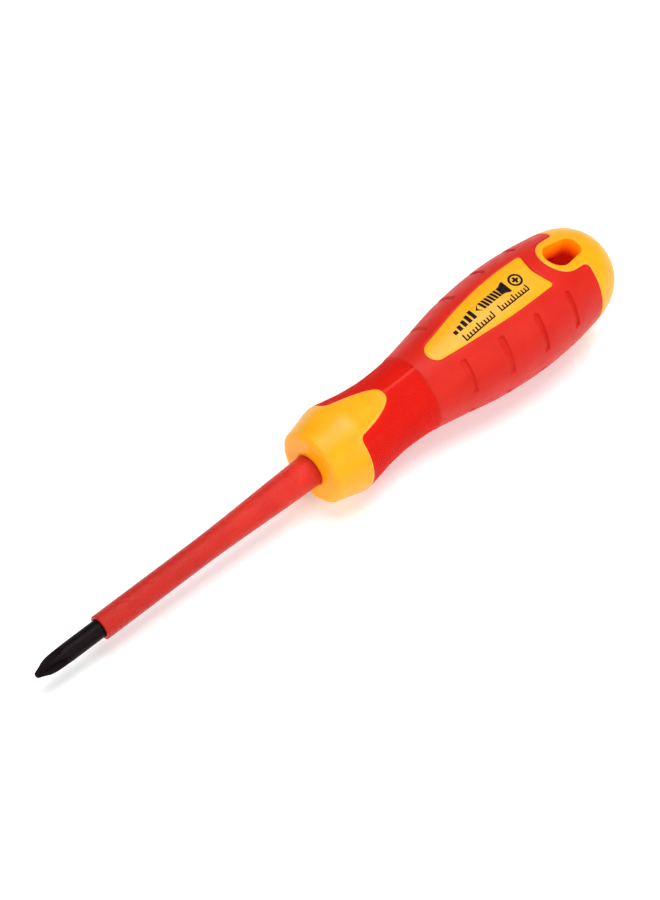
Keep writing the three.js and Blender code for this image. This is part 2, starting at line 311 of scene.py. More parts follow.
def to_cap_outline(s, y):
    """Plan distance to the cap: the rim around its hole, and all that lies behind its front
    edge. It is negative inside."""
    return round_union(-inside_distance(rim_outline(), s, y), CAP_FRONT - s, CAP_CORNER)


# ------------------------------------------------------------------ mesh building
def new_object(name, vertices, faces, material, edge=None):
    """A smooth mesh. The optional edge is 1 at the rounded border of a piece, 0 elsewhere; the
    materials paint a pale highlight along it.
    """
    mesh = bpy.data.meshes.new(name)
    mesh.from_pydata(np.asarray(vertices) * MM, [], faces)
    mesh.validate()
    if edge is not None:
        attribute = mesh.attributes.new("edge", "FLOAT", "POINT")
        attribute.data.foreach_set("value", np.ascontiguousarray(edge, np.float32))
    mesh.polygons.foreach_set("use_smooth", np.ones(len(mesh.polygons), bool))
    mesh.materials.append(material)
    obj = bpy.data.objects.new(name, mesh)
    bpy.context.scene.collection.objects.link(obj)
    return obj


def around(s, radius, angle):
    """Points of a surface given by station, radius and angle around the tool."""
    s, radius, angle = np.broadcast_arrays(s, radius, angle)
    return np.stack([-s, radius * np.sin(angle), radius * np.cos(angle)], axis=-1)


def full_turn(count):
    """Evenly spaced angles all around the tool."""
    return np.arange(count) * 2 * math.pi / count


def turned(name, points, material, closed=False):
    """A mesh from rings of points that run from the tip to the butt. A closed one joins its
    last ring to its first; otherwise a flat face closes each end."""
    rows, columns = points.shape[:2]
    r = np.arange(rows if closed else rows - 1)[:, None]
    c = np.arange(columns)[None, :]
    r1, c1 = (r + 1) % rows, (c + 1) % columns
    quads = [r * columns + c, r * columns + c1, r1 * columns + c1, r1 * columns + c]
    faces = np.stack(quads, axis=-1).reshape(-1, 4).tolist()
    if not closed:
        faces.append(list(range(columns))[::-1])
        faces.append(list(range((rows - 1) * columns, rows * columns)))
    return new_object(name, points.reshape(-1, 3), faces, material)


def shell(name, outer, inner, keep, material, edge=None):
    """A closed wall between two matching grids of points, only in the cells that keep marks.
    The last column of points joins the first."""
    rows, columns = outer.shape[:2]
    count = rows * columns
    r, c = np.nonzero(keep)
    a = r * columns + c
    b = r * columns + (c + 1) % columns
    d, e = a + columns, b + columns
    faces = [np.stack([a, b, e, d], 1), np.stack([a, d, e, b], 1) + count]
    padded = np.pad(keep, 1)
    padded[:, 0], padded[:, -1] = padded[:, -2], padded[:, 1]
    for dr, dc, p, q in ((-1, 0, a, b), (0, 1, b, e), (1, 0, e, d), (0, -1, d, a)):
        open_side = ~padded[r + 1 + dr, c + 1 + dc]
        p, q = p[open_side], q[open_side]
        faces.append(np.stack([q, p, p + count, q + count], 1))
    faces = np.concatenate(faces)
    vertices = np.concatenate([outer.reshape(-1, 3), inner.reshape(-1, 3)])
    used, faces = np.unique(faces, return_inverse=True)
    if edge is not None:
        edge = np.tile(edge.ravel(), 2)[used]
    return new_object(name, vertices[used], faces.reshape(-1, 4), material, edge)


def all_corners(mask):
    """Whether all four corners of each cell of a grid are in the mask; columns wrap."""
    pair = mask[:-1] & mask[1:]
    return pair & np.roll(pair, -1, axis=1)


def spread(*parts):
    """Sorted stations or angles from several ranges, each (start, end, spacing)."""
    least_gap = 0.02
    values = [np.linspace(a, b, max(round((b - a) / step), 1) + 1) for a, b, step in parts]
    values = np.sort(np.concatenate(values))
    return values[np.concatenate([[True], np.diff(values) > least_gap])]


def mirrored_angles(*quarter):
    """Angles all around the tool, from the ranges in degrees of its first quarter turn. The
    other quarters mirror it."""
    parts = []
    for start, sign in ((0, 1), (180, -1), (180, 1), (360, -1)):
        for a, b, step in quarter:
            parts.append((*sorted((start + sign * a, start + sign * b)), step))
    return np.radians(spread(*parts)[:-1])


# ------------------------------------------------------------------ materials
class Surface:
    """A procedural material under construction."""

    def __init__(self, name, roughness, specular, subsurface=0.0):
        self.material = bpy.data.materials.new(name)
        self.material.use_nodes = True
        self.nodes = self.material.node_tree.nodes
        self.links = self.material.node_tree.links
        self.shader = self.nodes["Principled BSDF"]
        self.place = self.nodes.new("ShaderNodeTexCoord").outputs["Object"]
        self.set("Specular IOR Level", specular)
        self.set("Subsurface Weight", subsurface)
        self.set("Subsurface Radius", (1.0, 0.35, 0.12))
        self.set("Subsurface Scale", 1.2 * MM)
        drift = self.noise(420, 4)
        self.feed("Roughness", self.remap(drift, 0.3, 0.7, roughness - 0.06, roughness + 0.06))

    def axis(self, name):
        node = self.nodes.new("ShaderNodeSeparateXYZ")
        self.links.new(self.place, node.inputs["Vector"])
        return node.outputs[name]

    def set(self, socket, value):
        self.shader.inputs[socket].default_value = value

    def feed(self, socket, value):
        self.links.new(value, self.shader.inputs[socket])

    def noise(self, scale, detail=2, stretch=(1, 1, 1)):
        mapping = self.nodes.new("ShaderNodeMapping")
        mapping.inputs["Scale"].default_value = stretch
        self.links.new(self.place, mapping.inputs["Vector"])
        node = self.nodes.new("ShaderNodeTexNoise")
        node.inputs["Scale"].default_value = scale
        node.inputs["Detail"].default_value = detail
        self.links.new(mapping.outputs["Vector"], node.inputs["Vector"])
        return node.outputs["Fac"]

    def remap(self, value, low, high, to_low=0.0, to_high=1.0):
        node = self.nodes.new("ShaderNodeMapRange")
        ends = {"From Min": low, "From Max": high, "To Min": to_low, "To Max": to_high}
        for socket, number in ends.items():
            node.inputs[socket].default_value = number
        self.links.new(value, node.inputs["Value"])
        return node.outputs["Result"]

    def math(self, operation, *values):
        node = self.nodes.new("ShaderNodeMath")
        node.operation = operation
        for socket, value in zip(node.inputs, values):
            if isinstance(value, (int, float)):
                socket.default_value = value
            else:
                self.links.new(value, socket)
        return node.outputs["Value"]

    def mix(self, factor, low, high):
        node = self.nodes.new("ShaderNodeMix")
        node.data_type = "RGBA"
        self.links.new(factor, node.inputs["Factor"])
        for socket, colour in (("A", low), ("B", high)):
            if isinstance(colour, tuple):
                node.inputs[socket].default_value = (*colour, 1)
            else:
                self.links.new(colour, node.inputs[socket])
        return node.outputs["Result"]

    def worn_edges(self):
        """One on sharp convex edges, broken up by noise."""
        edge = self.nodes.new("ShaderNodeNewGeometry").outputs["Pointiness"]
        patches = self.remap(self.noise(900, 3), 0.4, 0.7)
        return self.math("MULTIPLY", self.remap(edge, 0.53, 0.62), patches)

    def border(self):
        """The mesh's own edge value: a painted highlight along the collar's and the cap's
        rounded borders, and the paler band of the neck.
        """
        node = self.nodes.new("ShaderNodeAttribute")
        node.attribute_name = "edge"
        return node.outputs["Fac"]

    def bump(self, *layers):
        """Layers of (height, depth in millimetres)."""
        normal = None
        for height, depth in layers:
            node = self.nodes.new("ShaderNodeBump")
            node.inputs["Distance"].default_value = depth * MM
            self.links.new(height, node.inputs["Height"])
            if normal:
                self.links.new(normal, node.inputs["Normal"])
            normal = node.outputs["Normal"]
        self.feed("Normal", normal)


def moulded(
    name, colour, deep, worn, roughness, specular, subsurface, grain, layers=(), scuffs=0.5
):
    """Moulded plastic or rubber: two close colours that drift, pale scuffed edges, a painted
    highlight in the same pale colour where the mesh's edge value is high, and the fine grain of
    a spark-eroded mould. Each of its bump layers is (noise, depth)."""
    surface = Surface(name, roughness, specular, subsurface)
    drift = surface.mix(surface.remap(surface.noise(140, 3), 0.3, 0.7), colour, deep)
    scuff_and_painted_highlight = surface.math("MULTIPLY", surface.worn_edges(), scuffs)
    # Painted highlight: the mesh's edge value lays the pale colour along rounded borders, on top
    # of the scuffed edges.
    scuff_and_painted_highlight = surface.math("MAXIMUM", scuff_and_painted_highlight, surface.border())
    surface.colour = surface.mix(scuff_and_painted_highlight, drift, worn)
    surface.feed("Base Color", surface.colour)
    surface.bump((surface.noise(3000), grain), *[(surface.noise(*n), d) for n, d in layers])
    return surface


# Colour, its drift, and the pale colour of scuffed edges, which also paints the highlight along
# the collar's and the cap's borders.
PLAIN_YELLOW = ((0.80, 0.365, 0.003), (0.76, 0.325, 0.002), (0.86, 0.43, 0.05))
GLOSS_YELLOW = dict(roughness=0.36, specular=0.24, subsurface=0.3, grain=0.02)
YELLOW = moulded("yellow_plastic", *PLAIN_YELLOW, **GLOSS_YELLOW).material
GRIP_RED = moulded(
    "grip_rubber",
    colour=(0.57, 0.016, 0.007),
    deep=(0.53, 0.011, 0.005),
    worn=(0.62, 0.05, 0.03),
    roughness=0.47,
    specular=0.14,
    subsurface=0.08,
    grain=0.03,
    layers=[((500, 3), 0.04)],
).material
NECK_RED = moulded(
    "neck_rubber",
    colour=(0.60, 0.007, 0.002),
    deep=(0.56, 0.005, 0.001),
    worn=(0.72, 0.06, 0.035),
    roughness=0.6,
    specular=0.1,
    subsurface=0.05,
    grain=0.02,
    scuffs=0.08,
).material
INK = moulded(
    "print_ink",
    colour=(0.003, 0.001, 0.001),
    deep=(0.006, 0.003, 0.003),
    worn=(0.03, 0.02, 0.015),
    roughness=0.5,
    specular=0.1,
    subsurface=0.0,
    grain=0.01,
).material


def sleeve_material():
    """Red plastic over dark steel. Its colour gets duller towards the tip, over the stretch
    between two stations."""
    surface = moulded(
        "sleeve_plastic",
        colour=(0.60, 0.028, 0.014),
        deep=(0.53, 0.016, 0.009),
        worn=(0.6, 0.06, 0.04),
        roughness=0.4,
        specular=0.14,
        subsurface=0.05,
        grain=0.02,
        layers=[((1500, 5, (0.8, 1, 1)), 0.3)],
    )
    dull, bright = 40, 68
    # Darker towards the tip: a plain ramp along the tool between the two stations.
    thin = surface.remap(surface.axis("X"), -bright * MM, -dull * MM, 0, 0.8)
    surface.feed("Base Color", surface.mix(thin, surface.colour, (0.42, 0.014, 0.009)))
    return surface.material


def cap_material():
    """The yellow plastic. Down inside the hang hole it is painted orange and then red, with an
    emission glow on the orange: painted light for the light that comes through the plastic, and
    painted shade deeper down in the red of the core."""
    surface = moulded(
        "cap_plastic", *PLAIN_YELLOW, roughness=0.38, specular=0.2, subsurface=0.45, grain=0.02
    )
    middle = 0.5 * (HOLE_FRONT + HOLE_BACK) * MM
    half_length = 0.5 * (HOLE_BACK - HOLE_FRONT) * MM
    half_width = HOLE_FRONT_RADIUS * MM
    along = surface.math("DIVIDE", surface.math("ADD", surface.axis("X"), middle), half_length)
    across = surface.math("DIVIDE", surface.axis("Y"), half_width)
    squares = [surface.math("MULTIPLY", v, v) for v in (along, across)]
    reach = surface.math("SQRT", surface.math("ADD", *squares))
    # The reach is 1 on the ellipse through the hole's ends and sides. The mask stops just
    # outside the hole's rounded edge.
    in_hole = surface.remap(reach, 1.34, 1.14)
    height = surface.math("ABSOLUTE", surface.axis("Z"))
    # Painted light and shade down the hole's walls: orange below the yellow, then red deeper
    # down.
    yellow_above, orange_below = 13.2 * MM, 11.4 * MM
    orange_above, red_below = 11.0 * MM, 6.8 * MM
    orange_part = surface.remap(height, yellow_above, orange_below)
    red_part = surface.remap(height, orange_above, red_below)
    glow = surface.math("MULTIPLY", in_hole, orange_part)
    # The cap's own wall is painted red here: painted shade in the red of the core below it.
    core = surface.math("MULTIPLY", in_hole, red_part)
    orange = surface.mix(glow, surface.colour, (1.0, 0.24, 0.001))
    colour = surface.mix(core, orange, (0.58, 0.012, 0.001))
    surface.feed("Base Color", colour)
    # A painted glow: emission in the orange part, weaker where the red takes over.
    surface.feed("Emission Color", colour)
    fade = surface.remap(core, 0, 1, 0.45, 0.3)
    surface.feed("Emission Strength", surface.math("MULTIPLY", glow, fade))
    return surface.material


def core_material():
    """The red core, with a painted glow: emission that stands in for the light that comes
    through the plastic around it.
    """
    red = (0.5, 0.01, 0.001)
    surface = moulded(
        "core_plastic",
        colour=red,
        deep=(0.46, 0.008, 0.001),
        worn=red,
        roughness=0.5,
        specular=0.15,
        subsurface=0.0,
        grain=0.02,
    )
    # Painted light: the core glows a little by emission.
    surface.feed("Emission Color", surface.colour)
    surface.set("Emission Strength", 0.34)
    return surface.material


def collar_material():
    """The yellow plastic, with a painted glow in a warmer orange on the front face around the
    blade, which lightens that shaded face.
    """
    surface = moulded("collar_plastic", *PLAIN_YELLOW, **GLOSS_YELLOW)
    fade = 0.9
    face = surface.remap(surface.axis("X"), -(COLLAR_FACE + fade) * MM, -COLLAR_FACE * MM)
    # Painted light: the front face glows orange by emission.
    surface.set("Emission Color", (1.0, 0.17, 0.001, 1))
    surface.feed("Emission Strength", surface.math("MULTIPLY", face, 0.22))
    return surface.material


def steel_material():
    """Black oxide over steel: bare metal shows a little along the sharp edges of the tip."""
    surface = Surface("black_oxide", roughness=0.44, specular=0.05)
    patches = surface.remap(surface.noise(300, 4), 0.3, 0.7)
    drift = surface.mix(patches, (0.004, 0.0018, 0.0022), (0.008, 0.004, 0.005))
    worn = surface.math("MULTIPLY", surface.worn_edges(), 0.35)
    surface.feed("Base Color", surface.mix(worn, drift, (0.12, 0.10, 0.10)))
    surface.bump((surface.noise(2400), 0.012), (surface.noise(900, 3, (0.1, 1, 1)), 0.02))
    return surface.material


SLEEVE_RED = sleeve_material()
CAP_YELLOW = cap_material()
COLLAR_YELLOW = collar_material()
CORE_RED = core_material()
STEEL = steel_material()


# ------------------------------------------------------------------ blade and sleeve
def bar_radius(s):
    return np.where(s < NOSE_KNOTS[-1][0], nose_curve(s), BAR_RADIUS)


def with_flutes(radius, s, angle):
    """The bar's radius with the four flutes of the cross tip cut into it."""
    quarter = math.pi / 2
    off = np.abs((angle - TIP_CLOCKING) % quarter - quarter / 2)
    run_out = FLUTE_RUN_OUT * (s / FLUTE_LENGTH) ** 6
    floor = FLUTE_ROOT + FLUTE_TAPER * s + run_out
    wall = np.cos(off) * math.tan(FLUTE_SPREAD) - np.sin(off)
    flute = floor * math.tan(FLUTE_SPREAD) / np.maximum(wall, 1e-3)
    near = np.clip(1 - np.abs(radius - flute) / FLUTE_ROUNDING, 0, None)
    cut = np.minimum(radius, flute) - FLUTE_ROUNDING * near * near / 4
    past_flutes = FLUTE_LENGTH + 0.4
    return np.where(s < past_flutes, cut, radius)


def with_wings(radius, s, angle):
    """The bar's radius with the two swaged wings near its tail."""
    start, end = WING_SPAN
    rise = smoothstep(start, start + WING_RAMP, s) * (1 - smoothstep(end - WING_RAMP, end, s))
    width = BAR_RADIUS + (WING_WIDTH / 2 - BAR_RADIUS) * rise
    to_end = width / np.maximum(np.abs(np.sin(angle)), 1e-3)
    to_side = WING_THICKNESS / 2 / np.maximum(np.abs(np.cos(angle)), 1e-3)
    wing = np.minimum(to_end, to_side)
    return np.where(rise > 0, np.maximum(radius, wing), radius)


def blade_points():
    """Rings of the steel bar, with close rows along the flutes and the ends of the wings."""
    start, end = WING_SPAN
    tip_rows = ((0, 9.2, 0.06), (9.2, 19, 0.8))
    wing_rows = ((start - 0.2, start + 3.4, 0.4), (end - 3.4, end + 0.4, 0.4))
    s = spread(*tip_rows, (20, BAR_TAIL, 6), *wing_rows)
    angle = full_turn(288)
    s2, angle2 = np.meshgrid(s, angle, indexing="ij")
    radius = with_flutes(bar_radius(s2), s2, angle2)
    radius = with_wings(radius, s2, angle2)
    edge = 1 - np.minimum(s2 / NOSE_ROUNDING, 1)
    radius *= NOSE_BLUNTNESS + (1 - NOSE_BLUNTNESS) * np.sqrt(1 - edge * edge)
    centre_radius = 0.02
    front, back = (around(s, centre_radius, angle)[None] for s in (0.0, BAR_TAIL))
    return np.concatenate([front, around(s2, radius, angle2), back])


blade = turned("blade_steel", blade_points(), STEEL)


def sleeve_points():
    """Closed rings of the insulating tube: its mouth, its outside and its bore."""
    corner_s, corner_r = BARE_TIP + SLEEVE_EDGE, SLEEVE_RADIUS - SLEEVE_EDGE
    corner = [
        (corner_s - SLEEVE_EDGE * math.sin(a), corner_r + SLEEVE_EDGE * math.cos(a))
        for a in np.radians([90, 67, 45, 22, 0])
    ]
    bore = BAR_RADIUS + FIT
    # The rounded edge between the bore and the front face.
    mouth = [(0.12, 0), (0.05, 0.02), (0.02, 0.05), (0, 0.12), (0, 0.3)]
    profile = [(BARE_TIP + ds, bore + dr) for ds, dr in mouth] + corner
    for s in np.arange(BARE_TIP + 1, SLEEVE_TAIL, 1.0):
        grow = smoothstep(*SLEEVE_TAPER, s)
        profile.append((s, SLEEVE_RADIUS + (SLEEVE_ROOT_RADIUS - SLEEVE_RADIUS) * grow))
    profile += [(SLEEVE_TAIL, SLEEVE_ROOT_RADIUS), (SLEEVE_TAIL, bore), (BARE_TIP + 0.5, bore)]
    s, radius = np.array(profile).T
    return around(s[:, None], radius[:, None], full_turn(144)[None, :])


sleeve = turned("insulation_sleeve", sleeve_points(), SLEEVE_RED, closed=True)


# ------------------------------------------------------------------ collar, neck and grip
def make_collar():
    """The yellow finger guard: flat face, rounded rim, flare and two tongues."""
    rim = np.radians(np.linspace(0, 90, 12))
    face_r = np.linspace(SLEEVE_ROOT_RADIUS + FIT, COLLAR_FACE_RADIUS, 5)
    face_s = np.full_like(face_r, COLLAR_FACE)
    rim_s = COLLAR_FACE + RIM_DEPTH * (1 - np.cos(rim[1:]))
    rim_r = COLLAR_FACE_RADIUS + RIM_HEIGHT * np.sin(rim[1:])
    body_s = spread((COLLAR_FACE + RIM_DEPTH + 0.25, 89, 0.3), (89, TONGUE_TIP + 0.8, 0.2))
    s = np.concatenate([face_s, rim_s, body_s])
    radius = np.concatenate([face_r, rim_r, collar_curve(body_s)])
    angle = mirrored_angles((0, 40, 1.0), (40, 90, 2.5))
    s2, angle2 = np.meshgrid(s, angle, indexing="ij")
    r2 = np.broadcast_to(radius[:, None], s2.shape)
    inside = inside_distance(collar_outline(), s2, r2 * np.sin(angle2))
    outer = around(s2, r2 + bevel(inside, COLLAR_BEVEL), angle2)
    wall_back = COLLAR_FACE + COLLAR_WALL
    bore = np.where(s2 < wall_back, np.minimum(r2, COLLAR_BORE), COLLAR_BORE)
    inner = around(np.maximum(s2, wall_back), bore, angle2)
    keep = all_corners(inside > -COLLAR_TUCK)
    # Painted highlight: a pale colour along the collar's rounded border.
    edge = 1 - smoothstep(0.1, COLLAR_BEVEL, inside)
    return shell("finger_guard", outer, inner, keep, COLLAR_YELLOW, edge)


def band(y):
    """The raised parting band that runs along the top and bottom of the neck."""
    return 1 - smoothstep(BAND_HALF_WIDTH - BAND_EDGE, BAND_HALF_WIDTH + BAND_EDGE, np.abs(y))


def make_neck():
    """The ribbed neck sleeve. Its ribs fade out at its borders, and its band is a bit paler."""
    s = spread((COLLAR_BACK - 0.3, NECK_END + 0.25, RIB_PITCH / 6))
    angle = full_turn(220)
    s2, angle2 = np.meshgrid(s, angle, indexing="ij")
    radius = handle_radius(s2) - NECK_RECESS
    y = radius * np.sin(angle2)
    inside = -inside_distance(collar_outline(), s2, y)
    ribs = 0.5 * RIB_DEPTH * (np.cos((s2 - COLLAR_BACK) * 2 * math.pi / RIB_PITCH) - 1)
    ribs *= smoothstep(0.2, 0.8, inside) * smoothstep(0.1, 0.5, NECK_END - s2)
    on_band = band(y)
    end = bevel(NECK_END - s2, NECK_GRIP_BEVEL)
    radius += (ribs + end) * (1 - on_band) + BAND_HEIGHT * on_band
    radius += bevel(inside, NECK_COLLAR_BEVEL)
    outer = around(s2, radius, angle2)
    inner = around(s2, NECK_BORE, angle2)
    keep = all_corners(inside > -NECK_TUCK)
    return shell("neck_sleeve", outer, inner, keep, NECK_RED, 0.4 * on_band)


def notch_depth(s, angle, radius):
    """Depth of the grip's notches: shallow in front, deep at the steep back wall. Each one is
    a rectangle with rounded corners, alike in all four quarters of the grip."""
    fold = np.degrees(np.abs((angle + math.pi) % (2 * math.pi) - math.pi))
    fold = np.minimum(fold, 180 - fold)
    half_across = NOTCH_LENGTH / 2
    depth = np.zeros_like(s)
    for back, top, bottom in zip(NOTCH_STATIONS, NOTCH_TOPS, NOTCH_BOTTOMS):
        edge = back + NOTCH_WALL / 2
        across = s - (edge - half_across)
        along = np.radians(fold - (top + bottom) / 2) * radius
        half_along = np.radians(bottom - top) / 2 * radius
        corner = np.where(along < 0, NOTCH_TOP_CORNER, NOTCH_BOTTOM_CORNER)
        past_side = np.abs(across) - half_across + corner
        past_end = np.abs(along) - half_along + corner
        outside = np.hypot(np.maximum(past_side, 0), np.maximum(past_end, 0))
        inside = corner - outside - np.minimum(np.maximum(past_side, past_end), 0)
        slope = np.clip(across / NOTCH_LENGTH + 0.5, 0, 1)
        floor = NOTCH_FRONT_DEPTH + (NOTCH_BACK_DEPTH - NOTCH_FRONT_DEPTH) * slope
        depth += floor * smoothstep(0, NOTCH_WALL, inside)
    return depth


def make_grip():
    """The soft grip, with close rows and columns along its borders and its notches."""
    rows = [(NECK_END - 0.25, NECK_END + 0.7, 0.1), (NECK_END + 0.7, CAP_FRONT - 0.6, 0.6)]
    rows += [(LABEL_TIP - 0.8, LABEL_TIP + 2.6, 0.26), (150, RIM_CENTRE + 0.3, 0.26)]
    rows += [(back - NOTCH_LENGTH, back + 0.3, 0.13) for back in NOTCH_STATIONS]
    rows += [(CAP_FRONT - 0.6, CAP_FRONT + 0.3, 0.12)]
    s = spread(*rows)
    label_columns = ((0, 27, 1.0), (27, 38, 0.8))
    angle = mirrored_angles(*label_columns, (38, 73, 3.5), (73, 80, 0.8), (80, 90, 3.3))
    s2, angle2 = np.meshgrid(s, angle, indexing="ij")
    radius = handle_radius(s2)
    y = radius * np.sin(angle2)
    to_label = -inside_distance(label_outline(), s2, y)
    to_cap = to_cap_outline(s2, y)
    radius += bevel(to_label, GRIP_LABEL_BEVEL) + bevel(to_cap, GRIP_CAP_BEVEL)
    radius += bevel(s2 - NECK_END, GRIP_NECK_BEVEL) * (1 - band(y))
    radius -= notch_depth(s2, angle2, radius)
    keep = all_corners((to_label > -GRIP_LABEL_TUCK) & (to_cap > -GRIP_CAP_TUCK))
    outer = around(s2, radius, angle2)
    bore = np.minimum(radius - GRIP_WALL, np.interp(s2, *zip(*GRIP_BORE_KNOTS)))
    return shell("grip_sleeve", outer, around(s2, bore, angle2), keep, GRIP_RED)


def panel_height(s, y):
    """Height of the upper label panel above the tool's axis."""
    curved = np.sqrt(np.maximum((handle_radius(s) - LABEL_RECESS) ** 2 - y * y, 0))
    near = np.clip(LABEL_SHOULDER - np.abs(curved - LABEL_FLAT), 0, None)
    return np.minimum(curved, LABEL_FLAT) - near**2 / (4 * LABEL_SHOULDER)


def make_panel(name, side):
    """The upper label panel, or with a side of -1 the lower one."""
    s = spread((LABEL_TIP - 0.6, LABEL_END + 0.7, 0.2))
    y = spread((-LABEL_HALF_WIDTH - 0.6, LABEL_HALF_WIDTH + 0.6, 0.16))
    s2, y2 = np.meshgrid(s, y if side > 0 else -y, indexing="ij")
    inside = inside_distance(label_outline(), s2, y2)
    z = panel_height(s2, y2) + bevel(inside, LABEL_BEVEL)
    outer = np.stack([-s2, y2, side * z], axis=-1)
    inner = np.stack([-s2, y2, side * (z - LABEL_THICKNESS)], axis=-1)
    return shell(name, outer, inner, all_corners(inside > -LABEL_TUCK), YELLOW)


collar = make_collar()
neck = make_neck()
grip = make_grip()
panel_top = make_panel("print_panel_top", 1)
panel_bottom = make_panel("print_panel_bottom", -1)


# ------------------------------------------------------------------ end cap
def iso_surface(field, xs, ys, zs):
    """Vertices and quads of the surface where a field sampled on a grid is zero. Each cell
    that the surface crosses gets one vertex, in the middle of its edge crossings."""
    inside = field < 0
    cells = np.array(field.shape) - 1
    total = np.zeros((*cells, 3))
    hits = np.zeros(cells)
    crossings = []
    for axis in range(3):
        low = inside.take(range(cells[axis]), axis)
        high = inside.take(range(1, cells[axis] + 1), axis)
        start = np.stack(np.nonzero(low != high), 1)
        end = start + np.eye(3, dtype=int)[axis]
        f0, f1 = field[tuple(start.T)], field[tuple(end.T)]
        point = start.astype(float)
        point[:, axis] += f0 / (f0 - f1)
        # The four cells around the crossed grid edge, in order around it.
        around_edge = []
        for du, dv in ((-1, -1), (0, -1), (0, 0), (-1, 0)):
            cell = start.copy()
            cell[:, (axis + 1) % 3] += du
            cell[:, (axis + 2) % 3] += dv
            around_edge.append(tuple(cell.T))
            np.add.at(total, around_edge[-1], point)
            np.add.at(hits, around_edge[-1], 1)
        crossings.append((around_edge, f0 < 0))
    used = hits > 0
    index = np.full(cells, -1)
    index[used] = np.arange(used.sum())
    place = total[used] / hits[used][:, None]
    quads = []
    for around_edge, starts_inside in crossings:
        quad = np.stack([index[cell] for cell in around_edge], 1)
        quad[~starts_inside] = quad[~starts_inside][:, ::-1]
        quads.append(quad)
    steps = np.array([xs[1] - xs[0], ys[1] - ys[0], zs[1] - zs[0]])
    return place * steps + np.array([xs[0], ys[0], zs[0]]), np.concatenate(quads)


def turned_handle(s, radius):
    """Distance to the handle's turned outside, for stations and a (y, z) grid of radii. It is
    worked out in the plane of the handle's profile, then looked up by radius."""
    front, reach, pitch = 150, 21, 0.1
    dome = np.sin(np.linspace(0, math.pi / 2, 60))[1:-1]
    dome_s = BUTT_DOME + (BUTT_END - BUTT_DOME) * dome
    profile_s = [*np.linspace(front, BUTT_DOME, 14), *dome_s]
    profile = [(a, float(handle_radius(a))) for a in profile_s]
    outline = mirrored([(front - 1, 0.01), *profile, (BUTT_END, 0.01)])
    plane_s, plane_r = np.meshgrid(s, np.arange(0, reach, pitch), indexing="ij")
    distance = -inside_distance(outline, plane_s, plane_r)
    low = (radius / pitch).astype(int)
    part = radius / pitch - low
    return distance[:, low] * (1 - part) + distance[:, low + 1] * part


def make_cap():
    """The butt cap: the turned handle within the cap's outline, less the hole and the bore."""
    half_width, half_height = 13.9, 14.9
    s = np.arange(RIM_FRONT - 1, BUTT_END + 0.8, CAP_CELL)
    y = np.arange(-half_width, half_width, CAP_CELL)
    z = np.arange(-half_height, half_height, CAP_CELL)
    radius = np.hypot(y[:, None], z[None, :])
    cap = turned_handle(s, radius)
    s2, y2 = np.meshgrid(s, y, indexing="ij")
    region = np.broadcast_to(to_cap_outline(s2, y2)[:, :, None], cap.shape)
    beside_hole = np.broadcast_to(inside_distance(hole_outline(), s2, y2)[:, :, None], cap.shape)
    cap = round_intersection(cap, region, CAP_EDGE)
    cap = round_intersection(cap, beside_hole, HOLE_EDGE)
    bore = np.interp(s, *zip(*CAP_BORE_KNOTS))[:, None, None]
    bore_end = CAP_BORE_KNOTS[-1][0]
    far_away = -9.0
    cap = np.maximum(cap, np.where(s[:, None, None] > bore_end, far_away, bore - radius))
    vertices, faces = iso_surface(cap, s, y, z)
    # Painted highlight: a pale colour along the cap's rounded edges.
    edge = 1 - smoothstep(0.05, 0.55, -to_cap_outline(vertices[:, 0], vertices[:, 1]))
    vertices[:, 0] *= -1
    return new_object("butt_cap", vertices, faces[:, ::-1], CAP_YELLOW, edge)


cap = make_cap()


# ------------------------------------------------------------------ print on the upper panel
class Print:
    """Ink laid on the upper panel as thin slabs that follow its surface."""

    def __init__(self):
        self.vertices, self.faces = [], []

    def patch(self, s, y):
        """One slab over a grid of (station, y) points."""
        top = panel_height(s, y) + INK_HEIGHT
        rows, columns = s.shape
        start, count = len(self.vertices), rows * columns
        for z in (top, top - INK_THICKNESS):
            self.vertices += np.stack([-s, y, z], axis=-1).reshape(-1, 3).tolist()

        def at(r, c, layer=0):
            return start + layer * count + r * columns + c

        for r in range(rows - 1):
            for c in range(columns - 1):
                cell = [(r, c), (r, c + 1), (r + 1, c + 1), (r + 1, c)]
                self.faces.append([at(*p) for p in cell])
                self.faces.append([at(*p, 1) for p in cell[:1] + cell[:0:-1]])
        edge = [(r, 0) for r in range(rows)] + [(rows - 1, c) for c in range(1, columns)]
        edge += [(r, columns - 1) for r in range(rows - 2, -1, -1)]
        edge += [(0, c) for c in range(columns - 2, 0, -1)]
        for p, q in zip(edge, edge[1:] + edge[:1]):
            self.faces.append([at(*p), at(*q), at(*q, 1), at(*p, 1)])

    def quad(self, a, b, c, d):
        """A slab with straight sides, from its four corners."""
        a, b, c, d = (np.array(p, float) for p in (a, b, c, d))
        step = 0.4
        u = np.linspace(0, 1, 2 + int(np.linalg.norm(b - a) / step))[:, None, None]
        v = np.linspace(0, 1, 2 + int(np.linalg.norm(d - a) / step))[None, :, None]
        points = (a * (1 - v) + d * v) * (1 - u) + (b * (1 - v) + c * v) * u
        self.patch(points[..., 0], points[..., 1])

    def bar(self, s0, s1, y0, y1):
        self.quad((s0, y0), (s1, y0), (s1, y1), (s0, y1))

    def ring(self, s, y, inner, outer):
        for k in range(8):
            turn = np.radians(np.linspace(k * 45, k * 45 + 45, 7))[:, None]
            radius = np.array([inner, outer])[None, :]
            self.patch(s + radius * np.cos(turn), y + radius * np.sin(turn))


def print_bars(ink, start):
    """Five bars of growing height."""
    for i in range(5):
        s = start + 1.5 * i
        ink.bar(s, s + 0.98, -0.35 - 0.4 * i, 0.75)


